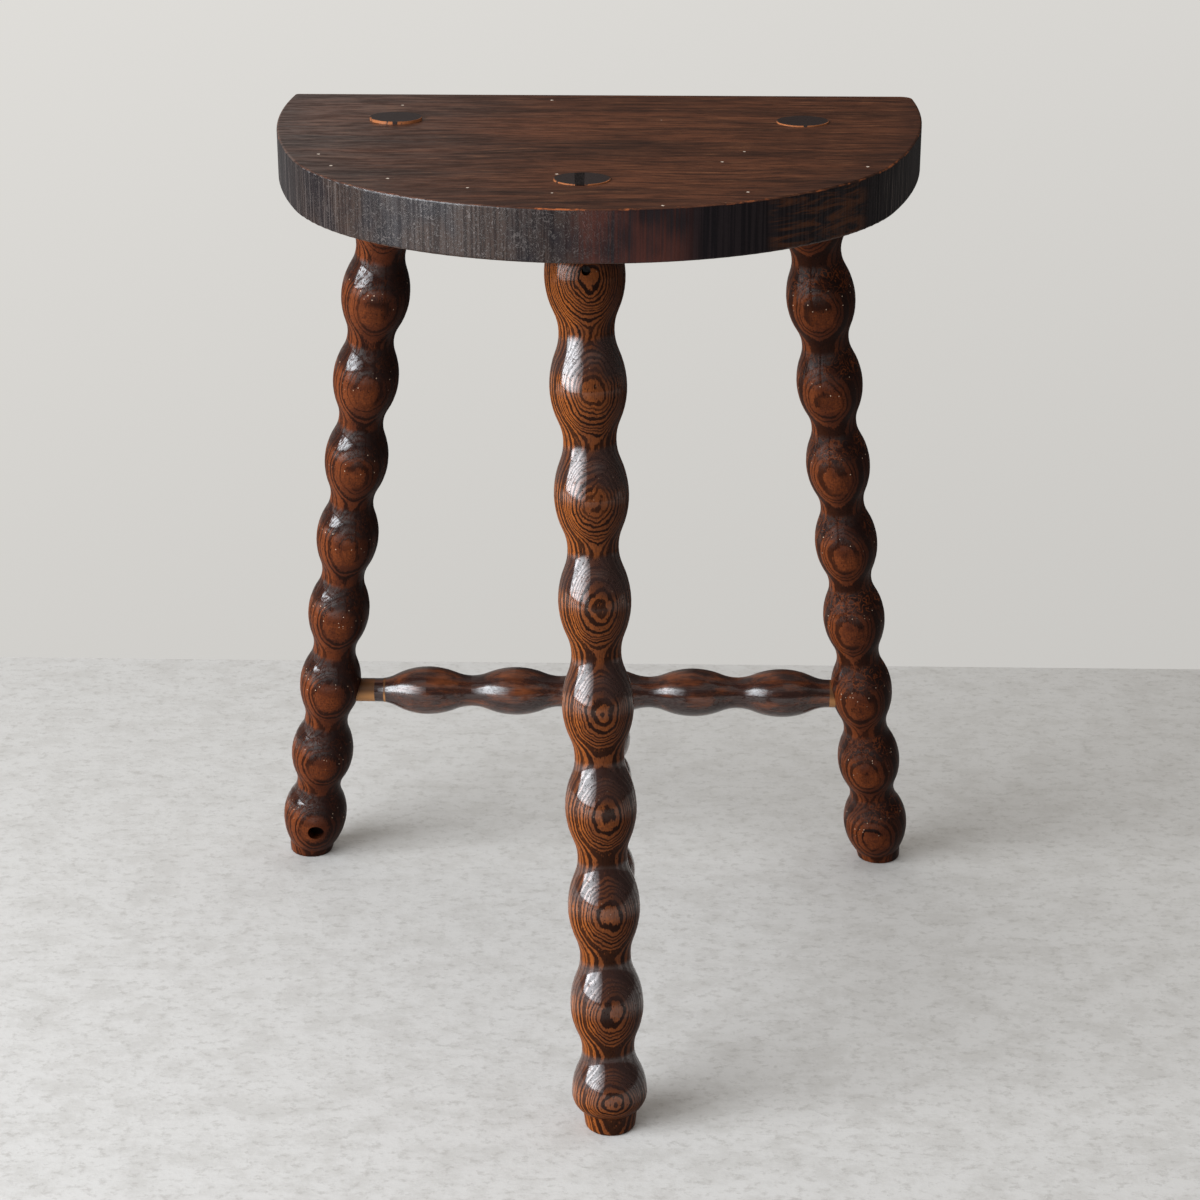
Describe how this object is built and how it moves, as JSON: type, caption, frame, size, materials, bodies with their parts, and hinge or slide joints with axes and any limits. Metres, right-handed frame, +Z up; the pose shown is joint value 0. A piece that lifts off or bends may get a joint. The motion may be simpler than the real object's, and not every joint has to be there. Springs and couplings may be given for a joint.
{
  "type": "joint stool",
  "caption": "Low stool with a half-round seat board on splayed bead-turned legs whose wedged round tenons come through the seat, braced by turned stretchers.",
  "frame": {"origin": "on the floor, under the middle of the stool's outer box", "axes": "+Z up, +X to the stool's right seen from the front leg's side, +Y towards the seat's straight back edge"},
  "size_m": [0.3898, 0.3452, 0.4864],
  "materials": {
    "seat_wood": "dark stained board, satin top, worn orange edges",
    "leg_wood": "glossy varnish over orange-brown wood with near-black rings",
    "wedge_wood": "near-black end grain, satin",
    "stretcher_wood": "dark glossy varnish, bare tan tenon ends"
  },
  "bodies": {
    "root": {"seat_board": "seat_wood", "front_leg": "leg_wood", "front_wedge": "wedge_wood", "back_left_leg": "leg_wood", "back_left_wedge": "wedge_wood", "back_right_leg": "leg_wood", "back_right_wedge": "wedge_wood", "back_stretcher": "stretcher_wood", "middle_stretcher": "stretcher_wood"}
  },
  "joints": []
}
